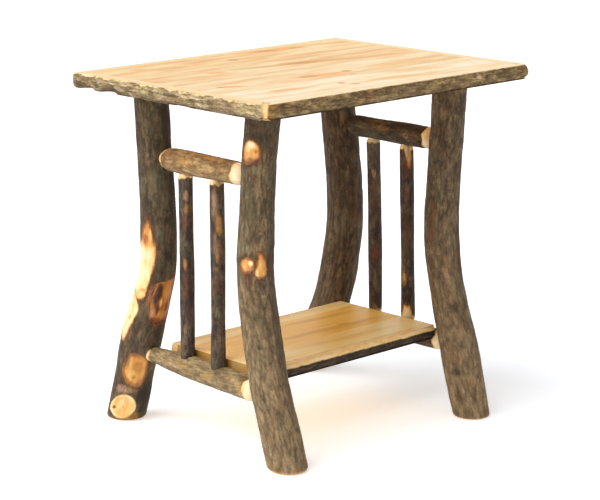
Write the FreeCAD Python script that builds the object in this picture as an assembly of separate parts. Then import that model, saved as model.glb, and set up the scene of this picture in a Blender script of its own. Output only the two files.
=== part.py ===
import FreeCAD, Part
import math
import os
from FreeCAD import Vector

# Rustic side table of bark-on hickory poles, in millimetres.
# +X runs left to right along the front edge, +Y from front to back, +Z up from the floor.
# While it is built, X and Y are measured from the middle of the top.
# At the end everything moves so that the origin is on the floor, at the middle of the table's box.

# Top
TABLE_WIDTH = 610.0
TABLE_DEPTH = 460.0
TABLE_HEIGHT = 610.0
TOP_THICKNESS = 25.0
TOP_PLANK_COUNT = 4
EDGE_WIDTH = 20.0
EDGE_BULGE = 4.0

# Cleats under the top, which hold its planks together and take the legs
CLEAT_THICKNESS = 13.0
CLEAT_WIDTH = 62.0
CLEAT_LENGTH = 346.0
CLEAT_CORNER_RADIUS = 6.0

# Legs: each side frame stands in its own upright plane, set in from the end of the top, and its
# legs bend only in that plane
SIDE_FRAME_SETBACK = 89.0
LEG_STANCE = 260.0
LEG_GIRTH = 62.0
LEG_TENON_GIRTH = 32.0
LEG_TENON_GRIP = 12.0
FOOT_ROUNDING = 6.0

# Rails, which join the front and back leg of each side frame. The upper ones lie at a drop below
# the underside of the top, the lower ones at heights above the floor.
RAIL_TENON_GIRTH = 26.0
RAIL_TAPER = 22.0
TENON_REVEAL = 1.0
UPPER_LEFT_RAIL_GIRTH = 40.0
UPPER_RIGHT_RAIL_GIRTH = 39.0
LOWER_LEFT_RAIL_GIRTH = 44.0
LOWER_RIGHT_RAIL_GIRTH = 36.0
UPPER_LEFT_RAIL_DROP = 114.5
UPPER_RIGHT_RAIL_DROP = 110.0
LOWER_LEFT_RAIL_FRONT_HEIGHT = 116.0
LOWER_LEFT_RAIL_BACK_HEIGHT = 127.0
LOWER_RIGHT_RAIL_FRONT_HEIGHT = 120.0
LOWER_RIGHT_RAIL_BACK_HEIGHT = 123.0

# Spindles between the lower and upper rail
SPINDLE_GIRTH = 25.0
SPINDLE_TENON_GIRTH = 18.0
SPINDLE_TOP_TAPER = 9.0
SPINDLE_FOOT_TAPER = 16.0
LEFT_BACK_SPINDLE_PLACE = 57.0
LEFT_FRONT_SPINDLE_PLACE = -19.5
RIGHT_BACK_SPINDLE_PLACE = 41.5
RIGHT_FRONT_SPINDLE_PLACE = -38.5
RIGHT_SPINDLE_LEAN = 10.0

# Shelf, whose ends stop short of the axes of the lower rails
SHELF_END_SETBACK = 13.5
SHELF_DEPTH = 230.0
SHELF_THICKNESS = 24.0
SHELF_TOP_HEIGHT = 150.0
SHELF_SETTING = -3.0
SHELF_PLANK_COUNT = 3
SHELF_EDGE_WIDTH = 14.0
SHELF_EDGE_BULGE = 2.5
SHELF_BATTEN_THICKNESS = 10.0
SHELF_BATTEN_WIDTH = 26.0
SHELF_BATTEN_LENGTH = 150.0
SHELF_BATTEN_STANDOFF = 9.0

# Screws and dowels
SCREW_GIRTH = 4.2
SCREW_HEAD_GIRTH = 8.4
SCREW_POINT = 5.0
CLEAT_SCREW_LENGTH = 30.0
CLEAT_SCREW_OFFSET = 24.0
SHELF_SCREW_LENGTH = 26.0
DOWEL_GIRTH = 6.0
DOWEL_LENGTH = 31.0
DOWEL_TO_SPINDLE = 24.0

# Fits: glue fills the first, and the second is the play left where one piece is cut round another
GLUE_LINE = 0.15
SCRIBE_GAP = 0.5
OVERRUN = 10.0

# Heights and half widths that follow
top_underside = TABLE_HEIGHT - TOP_THICKNESS
cleat_underside = top_underside - CLEAT_THICKNESS
leg_height = cleat_underside - GLUE_LINE
side_x = TABLE_WIDTH / 2 - SIDE_FRAME_SETBACK
half_stance = LEG_STANCE / 2
upper_left_rail_height = top_underside - UPPER_LEFT_RAIL_DROP
upper_right_rail_height = top_underside - UPPER_RIGHT_RAIL_DROP
shelf_end = side_x - SHELF_END_SETBACK
shelf_underside = SHELF_TOP_HEIGHT - SHELF_THICKNESS

# Each leg is a bent pole. At each of leg_height_shares, going up, its line stands off the middle
# by a share of half the stance, and its thickness is a share of the leg girth.
leg_height_shares = [0.0, 0.08, 0.16, 0.24, 0.32, 0.40, 0.48, 0.58, 0.70, 0.85, 1.0]
leg_sway_shares = {
    "leg_back_left": [1.70, 1.59, 1.49, 1.38, 1.27, 1.13, 1.01, 0.98, 0.99, 1.04, 1.08],
    "leg_front_left": [1.43, 1.32, 1.20, 1.09, 1.01, 0.94, 0.88, 0.85, 0.88, 0.92, 1.00],
    "leg_back_right": [1.70, 1.52, 1.34, 1.17, 1.05, 0.97, 0.91, 0.89, 0.93, 1.02, 1.10],
    "leg_front_right": [1.51, 1.41, 1.32, 1.22, 1.11, 1.02, 0.95, 0.92, 0.94, 0.99, 1.03],
}
leg_girth_shares = {
    "leg_back_left": [1.10, 1.10, 1.09, 1.14, 1.15, 1.04, 1.01, 1.01, 0.98, 0.95, 0.95],
    "leg_front_left": [1.08, 1.08, 1.06, 1.04, 1.05, 1.04, 1.00, 0.99, 0.95, 0.92, 0.94],
    "leg_back_right": [1.08, 1.10, 1.11, 1.13, 1.11, 1.11, 1.09, 1.07, 1.06, 1.03, 1.02],
    "leg_front_right": [1.03, 1.07, 1.11, 1.07, 1.02, 0.99, 1.00, 1.00, 0.96, 0.96, 0.98],
}

# Along a rail or a spindle: how far along its bare pole, how thick, and how far it bows sideways,
# the last two as shares of its girth.
rail_form_shares = [
    (0.0, 0.95, 0.0), (0.25, 1.0, 0.03), (0.5, 1.01, 0.04), (0.75, 0.98, 0.02), (1.0, 0.94, 0.0),
]
spindle_form_shares = [
    (0.0, 1.0, 0.0), (0.25, 0.97, 0.03), (0.5, 1.0, -0.02), (0.75, 1.03, -0.02), (1.0, 0.97, 0.0),
]

# How many level slices shape one leg, and where the seam of a rail or spindle lies about its axis
LEG_SLICES = 17
SEAM_TURN_DEGREES = 50


def box(low_x, high_x, low_y, high_y, low_z, high_z):
    corner = Vector(low_x, low_y, low_z)
    return Part.makeBox(high_x - low_x, high_y - low_y, high_z - low_z, corner)


def circle(girth, centre):
    return Part.Wire(Part.Circle(centre, Vector(0, 0, 1), girth / 2).toShape())


def placed(shape, start, finish):
    """Stands a shape, made upright from zero, on start and points it at finish.

    It is first spun about its own axis, so that the seam of its surface misses every socket.
    """
    spin = FreeCAD.Rotation(Vector(0, 0, 1), SEAM_TURN_DEGREES)
    turn = FreeCAD.Rotation(Vector(0, 0, 1), finish - start)
    shape.Placement = FreeCAD.Placement(start, turn * spin)
    return shape


# Legs
def steepness(steps, values, index):
    """How fast values change with steps, about one of them."""
    low = max(index - 1, 0)
    high = min(index + 1, len(steps) - 1)
    return (values[high] - values[low]) / (steps[high] - steps[low])


def leg_reading(leg, shares, height):
    """The value of a leg's share list at a height, on a smooth curve through its steps."""
    steps = leg_height_shares
    values = shares[leg]
    place = min(max(height / leg_height, 0), 1)
    upper = next(index for index, step in enumerate(steps) if step >= place and index > 0)
    lower = upper - 1
    gap = steps[upper] - steps[lower]
    way = (place - steps[lower]) / gap
    lean_low = steepness(steps, values, lower) * gap
    lean_high = steepness(steps, values, upper) * gap
    change = values[upper] - values[lower]
    bend = lean_low + lean_high - 2 * change
    return values[lower] + way * (lean_low + way * (change - lean_low - bend + way * bend))


def leg_point(leg, height):
    side = -side_x if leg.endswith("left") else side_x
    away = half_stance if "back" in leg else -half_stance
    return Vector(side, away * leg_reading(leg, leg_sway_shares, height), height)


def leg_radius(leg, height):
    return LEG_GIRTH / 2 * leg_reading(leg, leg_girth_shares, height)


def leg_ring(leg, height, grow):
    """A level slice of the leaning pole: an ellipse that is longer the way the pole leans."""
    low = max(height - FOOT_ROUNDING, 0)
    high = min(height + FOOT_ROUNDING, leg_height)
    lean = (leg_point(leg, high) - leg_point(leg, low)).Length / (high - low)
    across = leg_radius(leg, height) + grow
    centre = leg_point(leg, height)
    ellipse = Part.Ellipse(centre + Vector(0, across * lean, 0), centre + Vector(-across, 0, 0), centre)
    return Part.Wire(ellipse.toShape())


def leg_pole(leg, grow=0):
    heights = [leg_height * slice_index / (LEG_SLICES - 1) for slice_index in range(LEG_SLICES)]
    rings = [leg_ring(leg, height, grow) for height in heights]
    return Part.makeLoft(rings, True, False)


def leg_tenon(leg, grow=0):
    foot = leg_point(leg, leg_height) - Vector(0, 0, FOOT_ROUNDING)
    length = FOOT_ROUNDING + GLUE_LINE + CLEAT_THICKNESS + LEG_TENON_GRIP + grow
    return Part.makeCylinder(LEG_TENON_GIRTH / 2 + grow, length, foot)


def leg(name, mortises):
    pole = leg_pole(name)
    foot_rim = [edge for edge in pole.Edges if edge.BoundBox.ZMax < FOOT_ROUNDING]
    pole = pole.makeFillet(FOOT_ROUNDING, foot_rim)
    return pole.fuse(leg_tenon(name)).cut(mortises)


# Rails and spindles
def stick(start, finish, girth, form_shares, tenon_girth, reaches, tapers, grow=0):
    """A pole from start to finish whose ends are cut down to round tenons.

    reaches gives how far the bare tenon runs in from each end, and tapers the length of the
    cut that leads from it to the full pole.
    """
    length = (finish - start).Length
    low = reaches[0] + tapers[0]
    high = length - reaches[1] - tapers[1]
    rings = []
    for along, thick, bow in form_shares:
        centre = Vector(girth * bow, 0, low + (high - low) * along)
        rings.append(circle(girth * thick + 2 * grow, centre))
    body = Part.makeLoft(rings, True, False)
    tenon = tenon_girth / 2 + grow
    first = girth / 2 * form_shares[0][1] + grow
    last = girth / 2 * form_shares[-1][1] + grow
    ends = []
    if tapers[0]:
        ends.append(Part.makeCylinder(tenon, reaches[0] + grow, Vector(0, 0, -grow)))
        ends.append(Part.makeCone(tenon, first, tapers[0], Vector(0, 0, reaches[0])))
    if tapers[1]:
        ends.append(Part.makeCone(last, tenon, tapers[1], Vector(0, 0, high)))
        ends.append(Part.makeCylinder(tenon, reaches[1] + grow, Vector(0, 0, length - reaches[1])))
    return placed(body.fuse(ends), start, finish)


rails = {
    "upper_rail_left": ("left", UPPER_LEFT_RAIL_GIRTH, upper_left_rail_height, upper_left_rail_height),
    "upper_rail_right": ("right", UPPER_RIGHT_RAIL_GIRTH, upper_right_rail_height, upper_right_rail_height),
    "lower_rail_left": (
        "left", LOWER_LEFT_RAIL_GIRTH, LOWER_LEFT_RAIL_FRONT_HEIGHT, LOWER_LEFT_RAIL_BACK_HEIGHT),
    "lower_rail_right": (
        "right", LOWER_RIGHT_RAIL_GIRTH, LOWER_RIGHT_RAIL_FRONT_HEIGHT, LOWER_RIGHT_RAIL_BACK_HEIGHT),
}


def rail_ends(name):
    side, girth, front_height, back_height = rails[name]
    return leg_point("leg_front_" + side, front_height), leg_point("leg_back_" + side, back_height)


def rail_pole(name, grow=0):
    side, girth, front_height, back_height = rails[name]
    front, back = rail_ends(name)
    front_reach = leg_radius("leg_front_" + side, front_height) + TENON_REVEAL
    back_reach = leg_radius("leg_back_" + side, back_height) + TENON_REVEAL
    return stick(
        front, back, girth, rail_form_shares, RAIL_TENON_GIRTH,
        (front_reach, back_reach), (RAIL_TAPER, RAIL_TAPER), grow)


def rail_height(name, place):
    """The height of a rail's centre line above the point at place, front to back."""
    front, back = rail_ends(name)
    return front.z + (back.z - front.z) * (place - front.y) / (back.y - front.y)


spindles = {
    "spindle_left_front": ("left", LEFT_FRONT_SPINDLE_PLACE, 0, 0),
    "spindle_left_back": ("left", LEFT_BACK_SPINDLE_PLACE, 0, 0),
    "spindle_right_front": ("right", RIGHT_FRONT_SPINDLE_PLACE, RIGHT_SPINDLE_LEAN, SPINDLE_FOOT_TAPER),
    "spindle_right_back": ("right", RIGHT_BACK_SPINDLE_PLACE, RIGHT_SPINDLE_LEAN, SPINDLE_FOOT_TAPER),
}


def spindle_ends(name):
    side, place, lean, foot_taper = spindles[name]
    x = -side_x if side == "left" else side_x
    foot_place = place - lean / 2
    head_place = place + lean / 2
    foot = Vector(x, foot_place, rail_height("lower_rail_" + side, foot_place))
    head = Vector(x, head_place, rail_height("upper_rail_" + side, head_place))
    return foot, head


def spindle_pole(name, grow=0):
    side, place, lean, foot_taper = spindles[name]
    foot, head = spindle_ends(name)
    foot_reach = rails["lower_rail_" + side][1] / 2 + TENON_REVEAL if foot_taper else 0
    head_reach = rails["upper_rail_" + side][1] / 2 + TENON_REVEAL
    return stick(
        foot, head, SPINDLE_GIRTH, spindle_form_shares, SPINDLE_TENON_GIRTH,
        (foot_reach, head_reach), (foot_taper, SPINDLE_TOP_TAPER), grow)


def spindle_foot_tenon(name, grow=0):
    """The round tenon, bored into the lower rail, of a spindle whose bark runs down to the rail."""
    foot, head = spindle_ends(name)
    girth = rails["lower_rail_" + spindles[name][0]][1]
    tenon = Part.makeCylinder(SPINDLE_TENON_GIRTH / 2 + grow, girth + grow, Vector(0, 0, -grow))
    return placed(tenon, foot, head)


def spindle(name):
    """Where the bark runs down to the lower rail, the pole is hollowed to sit over the rail."""
    pole = spindle_pole(name)
    if spindles[name][3]:
        return pole
    coped = pole.cut(rail_pole("lower_rail_" + spindles[name][0], GLUE_LINE))
    return coped.fuse(spindle_foot_tenon(name)).removeSplitter()


def spindle_socket(name):
    """What a spindle takes out of the rails above and below it."""
    if spindles[name][3]:
        return [spindle_pole(name, GLUE_LINE)]
    foot, head = spindle_ends(name)
    upper_half = box(
        -TABLE_WIDTH, TABLE_WIDTH, -TABLE_DEPTH, TABLE_DEPTH, (foot.z + head.z) / 2, TABLE_HEIGHT)
    return [spindle_pole(name, GLUE_LINE).common(upper_half), spindle_foot_tenon(name, GLUE_LINE)]


# Screws: a flat head sunk flush, a plain shank and a point, made point up at start
def screw(start, length, grow=0):
    head_depth = (SCREW_HEAD_GIRTH - SCREW_GIRTH) / 2
    shank_top = length - SCREW_POINT
    outline = [
        Vector(0, 0, -grow),
        Vector(SCREW_HEAD_GIRTH / 2 + grow, 0, -grow),
        Vector(SCREW_GIRTH / 2 + grow, 0, head_depth),
        Vector(SCREW_GIRTH / 2 + grow, 0, shank_top),
        Vector(0, 0, length + grow),
        Vector(0, 0, -grow),
    ]
    turned = Part.Face(Part.makePolygon(outline)).revolve(Vector(0, 0, 0), Vector(0, 0, 1), 360)
    turned.translate(start)
    return turned


# Boards and their bark edges
def plank_strip(index, count, low, high):
    """Where the strip at index lies when a width is shared by count strips with glue between."""
    width = (high - low - (count - 1) * GLUE_LINE) / count
    near = low + index * (width + GLUE_LINE)
    return near, near + width


def edge_section(length, flush_width, thickness, bulge):
    """A bark edge strip, along X: square inside, swelling outwards to the front."""
    inner = Vector(-length / 2, flush_width, 0)
    inner_top = Vector(-length / 2, flush_width, thickness)
    outer_top = Vector(-length / 2, 0, thickness)
    outer_low = Vector(-length / 2, 0, 0)
    swell = Vector(-length / 2, -bulge, thickness / 2)
    sides = Part.makePolygon([outer_low, inner, inner_top, outer_top]).Edges
    outline = Part.Wire(sides + [Part.Arc(outer_top, swell, outer_low).toShape()])
    return Part.Face(outline).extrude(Vector(length, 0, 0))


def top_edge(turn_count):
    """One mitred bark edge strip of the top. Each turn_count is a quarter turn from the front."""
    along, depth = (TABLE_WIDTH, TABLE_DEPTH) if turn_count % 2 == 0 else (TABLE_DEPTH, TABLE_WIDTH)
    strip = edge_section(along + 2 * OVERRUN, EDGE_WIDTH, TOP_THICKNESS, EDGE_BULGE)
    strip.translate(Vector(0, -depth / 2, top_underside))
    outer = along / 2 + OVERRUN - GLUE_LINE
    inner = along / 2 - EDGE_WIDTH - OVERRUN - GLUE_LINE
    near = -depth / 2 - OVERRUN
    far = -depth / 2 + EDGE_WIDTH + OVERRUN
    corners = [
        Vector(-outer, near, 0), Vector(outer, near, 0), Vector(inner, far, 0), Vector(-inner, far, 0),
        Vector(-outer, near, 0),
    ]
    wedge = Part.Face(Part.makePolygon(corners)).extrude(Vector(0, 0, TABLE_HEIGHT + OVERRUN))
    strip = strip.common(wedge)
    strip.rotate(Vector(0, 0, 0), Vector(0, 0, 1), 90 * turn_count)
    return strip


def top_plank(index, cutters):
    planks_end = TABLE_DEPTH / 2 - EDGE_WIDTH - GLUE_LINE
    near, far = plank_strip(index, TOP_PLANK_COUNT, -planks_end, planks_end)
    end = TABLE_WIDTH / 2 - EDGE_WIDTH - GLUE_LINE
    return box(-end, end, near, far, top_underside, TABLE_HEIGHT).cut(cutters)


def cleat(side, cutters):
    middle = side * side_x
    board = box(
        middle - CLEAT_WIDTH / 2, middle + CLEAT_WIDTH / 2, -CLEAT_LENGTH / 2, CLEAT_LENGTH / 2,
        cleat_underside, top_underside - GLUE_LINE)
    corners = [edge for edge in board.Edges if edge.BoundBox.ZLength > CLEAT_THICKNESS / 2]
    return board.makeFillet(CLEAT_CORNER_RADIUS, corners).cut(cutters)


def cleat_screws(grow=0):
    """Two screws near the middle of each cleat and two beside the leg tenons."""
    strip = (TABLE_DEPTH - 2 * EDGE_WIDTH) / TOP_PLANK_COUNT
    places = []
    for side in (-1, 1):
        for front_or_back in (-1, 1):
            places.append((side * side_x, front_or_back * strip / 2))
            places.append((side * (side_x + CLEAT_SCREW_OFFSET), front_or_back * strip * 3 / 2))
    return [screw(Vector(x, y, cleat_underside), CLEAT_SCREW_LENGTH, grow) for x, y in places]


# Shelf
shelf_front = SHELF_SETTING - SHELF_DEPTH / 2
shelf_back = SHELF_SETTING + SHELF_DEPTH / 2


def shelf_edge(is_back, cutters):
    strip = edge_section(2 * shelf_end, SHELF_EDGE_WIDTH, SHELF_THICKNESS, SHELF_EDGE_BULGE)
    if is_back:
        strip.rotate(Vector(0, 0, 0), Vector(0, 0, 1), 180)
    strip.translate(Vector(0, shelf_back if is_back else shelf_front, shelf_underside))
    return strip.cut(cutters)


def shelf_plank_strip(index):
    edge = SHELF_EDGE_WIDTH + GLUE_LINE
    return plank_strip(index, SHELF_PLANK_COUNT, shelf_front + edge, shelf_back - edge)


def shelf_plank(index, cutters):
    near, far = shelf_plank_strip(index)
    return box(-shelf_end, shelf_end, near, far, shelf_underside, SHELF_TOP_HEIGHT).cut(cutters)


def batten_span():
    """How far from the middle a shelf batten starts and ends, towards the lower rail."""
    outer = shelf_end - SHELF_BATTEN_STANDOFF
    return outer - SHELF_BATTEN_WIDTH, outer


def shelf_batten(side, cutters):
    inner, outer = batten_span()
    low_x, high_x = (inner, outer) if side > 0 else (-outer, -inner)
    board = box(
        low_x, high_x, SHELF_SETTING - SHELF_BATTEN_LENGTH / 2, SHELF_SETTING + SHELF_BATTEN_LENGTH / 2,
        shelf_underside - SHELF_BATTEN_THICKNESS, shelf_underside - GLUE_LINE)
    return board.cut(cutters)


def shelf_screws(grow=0):
    inner, outer = batten_span()
    start = shelf_underside - SHELF_BATTEN_THICKNESS
    screws = []
    for side in (-1, 1):
        for index in range(SHELF_PLANK_COUNT):
            near, far = shelf_plank_strip(index)
            reach = SHELF_BATTEN_LENGTH / 2 - SCREW_HEAD_GIRTH
            place = SHELF_SETTING + min(max((near + far) / 2 - SHELF_SETTING, -reach), reach)
            screws.append(screw(Vector(side * (inner + outer) / 2, place, start), SHELF_SCREW_LENGTH, grow))
    return screws


def shelf_dowels(grow=0):
    """Short dowels from each batten into its lower rail, clear of the spindles' tenons.

    One lies midway between the two spindles, the other in front of both.
    """
    height = shelf_underside - SHELF_BATTEN_THICKNESS / 2
    dowels = []
    for side, name in ((-1, "left"), (1, "right")):
        front = spindle_ends("spindle_%s_front" % name)[0].y
        back = spindle_ends("spindle_%s_back" % name)[0].y
        for place in ((front + back) / 2, front - DOWEL_TO_SPINDLE):
            tip = Vector(side * (side_x + grow), place, height)
            dowels.append(
                Part.makeCylinder(DOWEL_GIRTH / 2 + grow, DOWEL_LENGTH + 2 * grow, tip, Vector(-side, 0, 0)))
    return dowels


def shelf_space():
    """The block that the shelf fills, grown by a glue line, which is cut out of the lower rails."""
    half = shelf_end + GLUE_LINE
    low = shelf_underside - GLUE_LINE
    return box(-half, half, shelf_front - OVERRUN, shelf_back + OVERRUN, low, SHELF_TOP_HEIGHT)


def batten_space():
    """The blocks that the battens fill, cut out of the lower rails where a thick rail meets them."""
    inner, outer = batten_span()
    half_length = SHELF_BATTEN_LENGTH / 2 + GLUE_LINE
    low = shelf_underside - SHELF_BATTEN_THICKNESS - GLUE_LINE
    blocks = []
    for side in (-1, 1):
        near, far = sorted((side * (inner - GLUE_LINE), side * (outer + GLUE_LINE)))
        blocks.append(
            box(near, far, SHELF_SETTING - half_length, SHELF_SETTING + half_length, low, shelf_underside))
    return blocks


# The whole table
def build():
    nodes = {}
    rail_cutters = [rail_pole(name, GLUE_LINE) for name in rails]
    for name in leg_sway_shares:
        nodes[name] = leg(name, rail_cutters)
    leg_sockets = [leg_tenon(name, GLUE_LINE) for name in leg_sway_shares]
    top_cutters = leg_sockets + cleat_screws(GLUE_LINE)

    for name in rails:
        cutters = [piece for spindle_name in spindles for piece in spindle_socket(spindle_name)]
        if name.startswith("lower"):
            cutters += [shelf_space()] + batten_space() + shelf_dowels(GLUE_LINE)
        nodes[name] = rail_pole(name).cut(cutters)
    for name in spindles:
        nodes[name] = spindle(name)

    for index in range(TOP_PLANK_COUNT):
        nodes["top_plank_%d" % (index + 1)] = top_plank(index, top_cutters)
    for turn_count, side in enumerate(("front", "right", "back", "left")):
        nodes["top_edge_" + side] = top_edge(turn_count)
    for side, name in ((-1, "left"), (1, "right")):
        nodes["top_cleat_" + name] = cleat(side, top_cutters)
    nodes["cleat_screws"] = Part.makeCompound(cleat_screws())

    scribes = [leg_pole(name, SCRIBE_GAP) for name in leg_sway_shares]
    scribes += [spindle_pole(name, SCRIBE_GAP) for name in spindles]
    shelf_cutters = scribes + shelf_screws(GLUE_LINE)
    for index in range(SHELF_PLANK_COUNT):
        nodes["shelf_plank_%d" % (index + 1)] = shelf_plank(index, shelf_cutters)
    nodes["shelf_edge_front"] = shelf_edge(False, scribes)
    nodes["shelf_edge_back"] = shelf_edge(True, scribes)
    for side, name in ((-1, "left"), (1, "right")):
        nodes["shelf_batten_" + name] = shelf_batten(side, shelf_screws(GLUE_LINE) + shelf_dowels(GLUE_LINE))
    nodes["shelf_screws"] = Part.makeCompound(shelf_screws())
    nodes["shelf_dowels"] = Part.makeCompound(shelf_dowels())
    return nodes


def write(nodes):
    """Moves the middle of the table's box over the origin and writes one file per piece."""
    whole = Part.makeCompound(list(nodes.values())).optimalBoundingBox()
    to_origin = Vector(-whole.Center.x, -whole.Center.y, -whole.ZMin)
    os.makedirs("parts", exist_ok=True)
    for name, shape in nodes.items():
        shape.translate(to_origin)
        shape.exportStep("parts/%s.step" % name)
        print(name, len(shape.Solids), "solid", shape.isValid(), round(shape.Volume))
    print("moved by", to_origin)


write(build())
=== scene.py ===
from math import atan2, cos, hypot, pi, radians, sin, sqrt

import bmesh
import bpy
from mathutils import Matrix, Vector, noise


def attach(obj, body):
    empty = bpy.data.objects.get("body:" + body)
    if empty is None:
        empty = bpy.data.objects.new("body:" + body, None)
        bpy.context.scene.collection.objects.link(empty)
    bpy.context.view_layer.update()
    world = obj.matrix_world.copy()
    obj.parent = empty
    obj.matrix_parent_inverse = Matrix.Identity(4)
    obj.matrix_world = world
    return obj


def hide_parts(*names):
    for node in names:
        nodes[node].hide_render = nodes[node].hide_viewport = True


# Looks of a rustic side table: bark-on hickory poles, pale planks with bark edges.
# Lengths are in millimetres until a point is placed. Heights are above the floor.
# Bearings go round a pole in degrees, from +X towards +Y, or towards +Z on a rail.

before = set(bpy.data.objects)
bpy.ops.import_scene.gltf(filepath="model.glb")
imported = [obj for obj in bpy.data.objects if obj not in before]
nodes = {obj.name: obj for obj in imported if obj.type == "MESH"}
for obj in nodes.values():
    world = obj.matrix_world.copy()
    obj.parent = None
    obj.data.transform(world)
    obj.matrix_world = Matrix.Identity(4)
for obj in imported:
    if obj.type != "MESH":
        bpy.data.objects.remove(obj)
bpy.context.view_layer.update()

scene = bpy.context.scene
MM = 0.001
MIDDLE_Y = -11.103
TAU = 2 * pi
CREASE = 0.9


# Small helpers
def tint(red, green, blue):
    """A colour picked on screen, as the linear colour a material takes."""
    linear = []
    for value in (red / 255, green / 255, blue / 255):
        linear.append(value / 12.92 if value <= 0.04045 else ((value + 0.055) / 1.055) ** 2.4)
    return (*linear, 1.0)


def ease(low, high, value):
    """0 up to low, 1 from high on, smooth between them. It falls where high is less than low."""
    way = min(max((value - low) / (high - low), 0.0), 1.0)
    return way * way * (3 - 2 * way)


def blend(first, second, way):
    return first + (second - first) * way


def ripple(x, y, z):
    """Smooth noise, -1 to 1."""
    return noise.noise(Vector((x, y, z)))


def reading(steps, values, place):
    """The value at place on a smooth curve through values at steps."""
    place = min(max(place, steps[0]), steps[-1])
    upper = next(index for index, step in enumerate(steps) if step >= place and index > 0)
    lower = upper - 1
    gap = steps[upper] - steps[lower]
    way = (place - steps[lower]) / gap

    def steepness(index):
        low = max(index - 1, 0)
        high = min(index + 1, len(steps) - 1)
        return (values[high] - values[low]) / (steps[high] - steps[low]) * gap

    change = values[upper] - values[lower]
    lean = steepness(lower)
    bend = lean + steepness(upper) - 2 * change
    return values[lower] + way * (lean + way * (change - lean - bend + way * bend))


def placed(name, data):
    """A new object in the scene."""
    thing = bpy.data.objects.new(name, data)
    scene.collection.objects.link(thing)
    return thing


def skin(name, around, along, place, materials):
    """A closed tube for a node of the frame, made as a cylinder and moved point by point.

    place takes how far round and how far along a point lies, each from 0 to 1. It returns the
    point, its place in the straight uncurved wood, four shares (bare wood, its tone, rust and the
    painted shade of hollows), and a tinge: a colour with how strong it is. The two ends take the
    second material.
    """
    mesh = bpy.data.meshes.new("bark_" + name)
    work = bmesh.new()
    bmesh.ops.create_cone(work, cap_ends=True, segments=around, radius1=1, radius2=1, depth=1)
    uprights = [edge for edge in work.edges if abs(edge.verts[0].co.z - edge.verts[1].co.z) > 0.5]
    bmesh.ops.subdivide_edges(work, edges=uprights, cuts=along - 1, use_grid_fill=True)
    for face in work.faces:
        is_end = len(face.verts) > 4
        face.material_index = int(is_end)
        face.smooth = not is_end
    grain = work.verts.layers.float_vector.new("grain")
    marks_and_shade = work.verts.layers.float_color.new("marks_and_shade")
    tinges = work.verts.layers.float_color.new("tinges")
    for vert in work.verts:
        share_round = atan2(vert.co.y, vert.co.x) / TAU % 1.0
        point, straight, shares, tinge = place(share_round, vert.co.z + 0.5)
        vert.co = Vector(point) * MM
        vert[grain] = Vector(straight) * MM
        vert[marks_and_shade] = shares
        vert[tinges] = tinge
    bmesh.ops.recalc_face_normals(work, faces=work.faces)
    for edge in work.edges:
        if edge.calc_face_angle(0) > CREASE:
            edge.smooth = False
    work.to_mesh(mesh)
    work.free()
    for material in materials:
        mesh.materials.append(material)
    return placed("bark_" + name, mesh)


# Node helpers
def fill(tree, node, inputs):
    """Gives a node's inputs a value or another node's socket."""
    for key, value in inputs.items():
        if isinstance(value, bpy.types.NodeSocket):
            tree.links.new(value, node.inputs[key])
        else:
            node.inputs[key].default_value = value
    return node


def add(tree, kind, inputs=None, **settings):
    node = tree.nodes.new(kind)
    for key, value in settings.items():
        setattr(node, key, value)
    return fill(tree, node, inputs or {})


def mixed(tree, factor, first, second, blend_type="MIX"):
    inputs = {0: factor, 6: first, 7: second}
    return add(tree, "ShaderNodeMix", inputs, data_type="RGBA", blend_type=blend_type).outputs[2]


def ramp(tree, factor, stops):
    node = add(tree, "ShaderNodeValToRGB", {0: factor})
    elements = node.color_ramp.elements
    while len(elements) < len(stops):
        elements.new(0.5)
    for element, (place, colour) in zip(elements, stops):
        element.position = place
        element.color = colour
    return node.outputs[0]


def sums(tree, operation, first, second):
    return add(tree, "ShaderNodeMath", {0: first, 1: second}, operation=operation).outputs[0]


def plus(tree, first, second):
    return sums(tree, "ADD", first, second)


def times(tree, first, second):
    return sums(tree, "MULTIPLY", first, second)


def vectors(tree, operation, first, second):
    return add(tree, "ShaderNodeVectorMath", {0: first, 1: second}, operation=operation).outputs[0]


def attribute(tree, name):
    return add(tree, "ShaderNodeAttribute", attribute_name=name).outputs


def direct_rays(tree):
    """1 for what the camera, gloss and glass see, 0 for the light that falls on things."""
    paths = add(tree, "ShaderNodeLightPath").outputs
    seen_first = sums(tree, "MAXIMUM", paths["Is Camera Ray"], paths["Is Glossy Ray"])
    return sums(tree, "MAXIMUM", seen_first, paths["Is Transmission Ray"])


def cloud(tree, vector, scale, detail=4.0, roughness=0.55, stretch=(1, 1, 1), shift=(0, 0, 0)):
    """Noise read at vector, with the space squeezed by stretch."""
    place = add(tree, "ShaderNodeMapping", {0: vector, 1: shift, 3: stretch}).outputs[0]
    inputs = {"Vector": place, "Scale": scale, "Detail": detail, "Roughness": roughness}
    return add(tree, "ShaderNodeTexNoise", inputs).outputs[0]


def new_material(name):
    material = bpy.data.materials.new(name)
    material.use_nodes = True
    tree = material.node_tree
    tree.nodes.clear()
    output = tree.nodes.new("ShaderNodeOutputMaterial")
    shader = tree.nodes.new("ShaderNodeBsdfPrincipled")
    tree.links.new(shader.outputs[0], output.inputs[0])
    return material, tree, shader


def grey(level):
    return (level, level, level, 1.0)


WHITE = grey(1.0)
BLACK = grey(0.0)


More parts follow.
